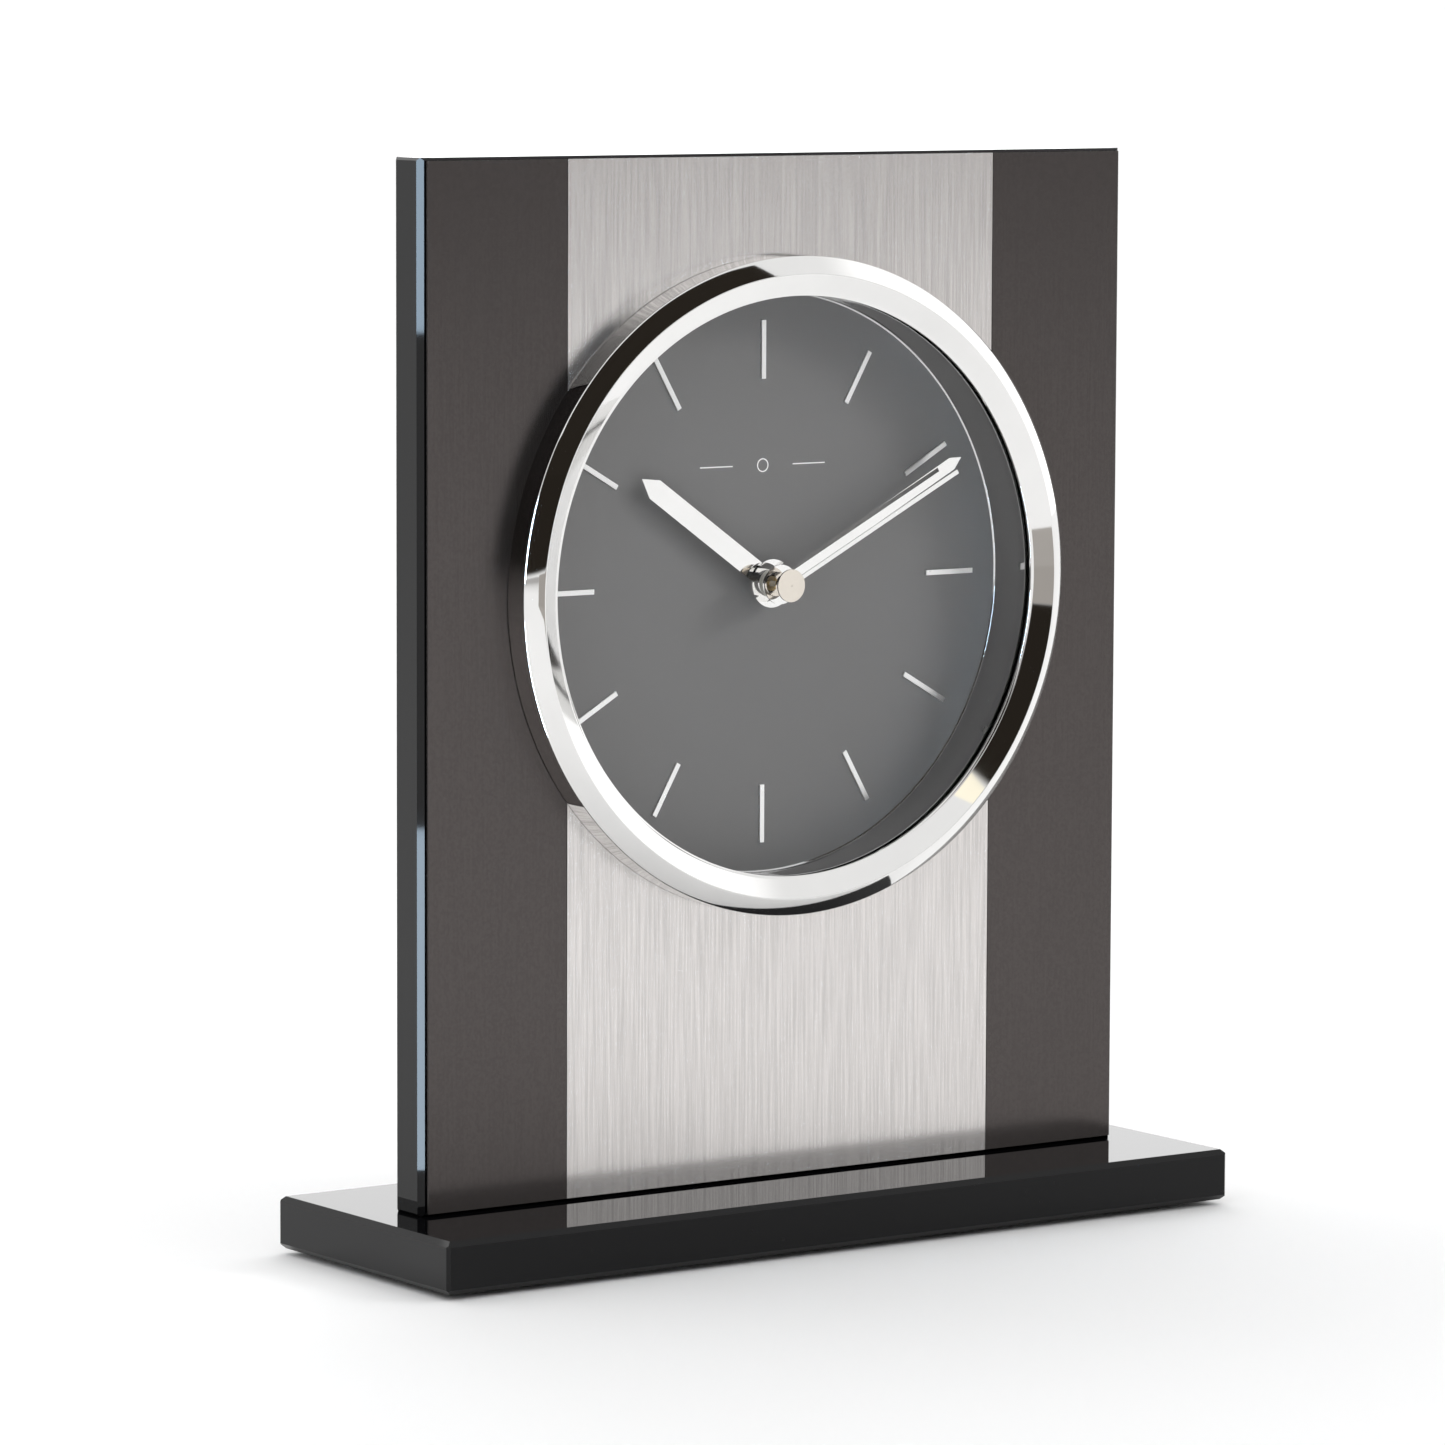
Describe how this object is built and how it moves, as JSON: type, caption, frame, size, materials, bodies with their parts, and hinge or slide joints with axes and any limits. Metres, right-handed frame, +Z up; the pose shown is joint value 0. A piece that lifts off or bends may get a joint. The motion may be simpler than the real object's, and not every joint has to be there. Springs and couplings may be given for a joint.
{
  "type": "quartz mantel clock",
  "caption": "Upright glass mantel clock on a glass foot, brushed metal fascia, polished round bezel, grey baton dial, three hands, and a working quartz movement behind.",
  "frame": {"origin": "middle of the footprint, on the surface the feet stand on", "axes": "+Z up, the dial faces -Y, +X to the right seen from the front"},
  "size_m": [0.179, 0.058, 0.2033],
  "materials": {
    "black_glass": "polished opaque black",
    "foot_rubber": "matt",
    "tape": "matt",
    "dark_sheet": "fine vertical brushing, gunmetal tint",
    "pale_sheet": "fine vertical brushing",
    "polished_metal": "mirror polished",
    "clear_glass": "polished clear",
    "seal_rubber": "matt",
    "dial_paint": "satin grey",
    "print_ink": "satin",
    "housing_plastic": "moulded",
    "nickel": "nickel plated, polished",
    "brass": "turned",
    "zinc_steel": "zinc plated",
    "cover_plastic": "moulded",
    "case_plastic": "moulded",
    "gear_plastic": "moulded",
    "magnet": "sintered, dark",
    "silicon_steel": "rolled",
    "copper": "lacquered copper wire",
    "board": "green solder mask",
    "chip_resin": "potted",
    "can_steel": "plated",
    "knob_plastic": "moulded",
    "sleeve_film": "printed film, no marks",
    "spring_metal": "plated"
  },
  "bodies": {
    "clock": {"base_plate": "black_glass", "feet": "foot_rubber", "back_panel": "black_glass", "fascia_tape": "tape", "left_fascia": "dark_sheet", "upper_fascia": "pale_sheet", "lower_fascia": "pale_sheet", "right_fascia": "dark_sheet", "bezel": "polished_metal", "lens_gasket": "seal_rubber", "lens": "clear_glass", "reflector": "polished_metal", "dial": "dial_paint", "dial_print": "print_ink", "hour_markers": "polished_metal", "insert_housing": "housing_plastic", "housing_gasket": "seal_rubber", "fixing_nut": "brass", "flat_washer": "brass", "rubber_washer": "seal_rubber", "movement_cover": "cover_plastic", "movement_case": "case_plastic", "movement_screws": "zinc_steel", "stator": "silicon_steel", "coil_core": "silicon_steel", "coil_bobbin": "gear_plastic", "coil_winding": "copper", "circuit_board": "board", "quartz_crystal": "can_steel", "chip": "chip_resin", "negative_contact": "spring_metal", "positive_contact": "spring_metal"},
    "minute_train": {"centre_wheel": "brass", "minute_hand": "polished_metal"},
    "hour_train": {"hour_wheel": "gear_plastic", "hour_hand": "polished_metal"},
    "seconds_train": {"seconds_wheel": "gear_plastic", "seconds_hand": "nickel"},
    "third_gear": {"third_wheel": "gear_plastic"},
    "minute_gear": {"minute_wheel": "gear_plastic"},
    "step_gear": {"step_wheel": "gear_plastic"},
    "motor_rotor": {"rotor": "magnet"},
    "knob": {"setting_knob": "knob_plastic"},
    "battery": {"battery_can": "can_steel", "battery_sleeve": "sleeve_film"}
  },
  "joints": [
    {"name": "minute_spin", "type": "hinge", "parent": "clock", "child": "minute_train", "pos_m": [0, 0, 0.1228], "axis": [0, 1, 0], "continuous": true},
    {"name": "hour_spin", "type": "hinge", "parent": "clock", "child": "hour_train", "pos_m": [0, 0, 0.1228], "axis": [0, 1, 0], "continuous": true},
    {"name": "seconds_spin", "type": "hinge", "parent": "clock", "child": "seconds_train", "pos_m": [0, 0, 0.1228], "axis": [0, 1, 0], "continuous": true},
    {"name": "third_spin", "type": "hinge", "parent": "clock", "child": "third_gear", "pos_m": [-0.00779, 0, 0.1273], "axis": [0, 1, 0], "continuous": true},
    {"name": "minute_gear_spin", "type": "hinge", "parent": "clock", "child": "minute_gear", "pos_m": [0.00693, 0, 0.1268], "axis": [0, 1, 0], "continuous": true},
    {"name": "step_spin", "type": "hinge", "parent": "clock", "child": "step_gear", "pos_m": [0.00158, 0, 0.13176], "axis": [0, 1, 0], "continuous": true},
    {"name": "rotor_spin", "type": "hinge", "parent": "clock", "child": "motor_rotor", "pos_m": [0.00493, 0, 0.13756], "axis": [0, 1, 0], "continuous": true},
    {"name": "knob_spin", "type": "hinge", "parent": "clock", "child": "knob", "pos_m": [0.01386, 0, 0.1228], "axis": [0, 1, 0], "continuous": true},
    {"name": "battery_slide", "type": "slide", "parent": "clock", "child": "battery", "axis": [0, 1, 0], "range_m": [0, 0.018]}
  ],
  "couplings": [
    {"joint": "hour_spin", "follows": "minute_spin", "ratio": 0.083333},
    {"joint": "seconds_spin", "follows": "minute_spin", "ratio": 60},
    {"joint": "third_spin", "follows": "minute_spin", "ratio": -8},
    {"joint": "minute_gear_spin", "follows": "minute_spin", "ratio": -0.33333},
    {"joint": "step_spin", "follows": "minute_spin", "ratio": -360},
    {"joint": "rotor_spin", "follows": "minute_spin", "ratio": 1800},
    {"joint": "knob_spin", "follows": "minute_spin", "ratio": 1}
  ]
}
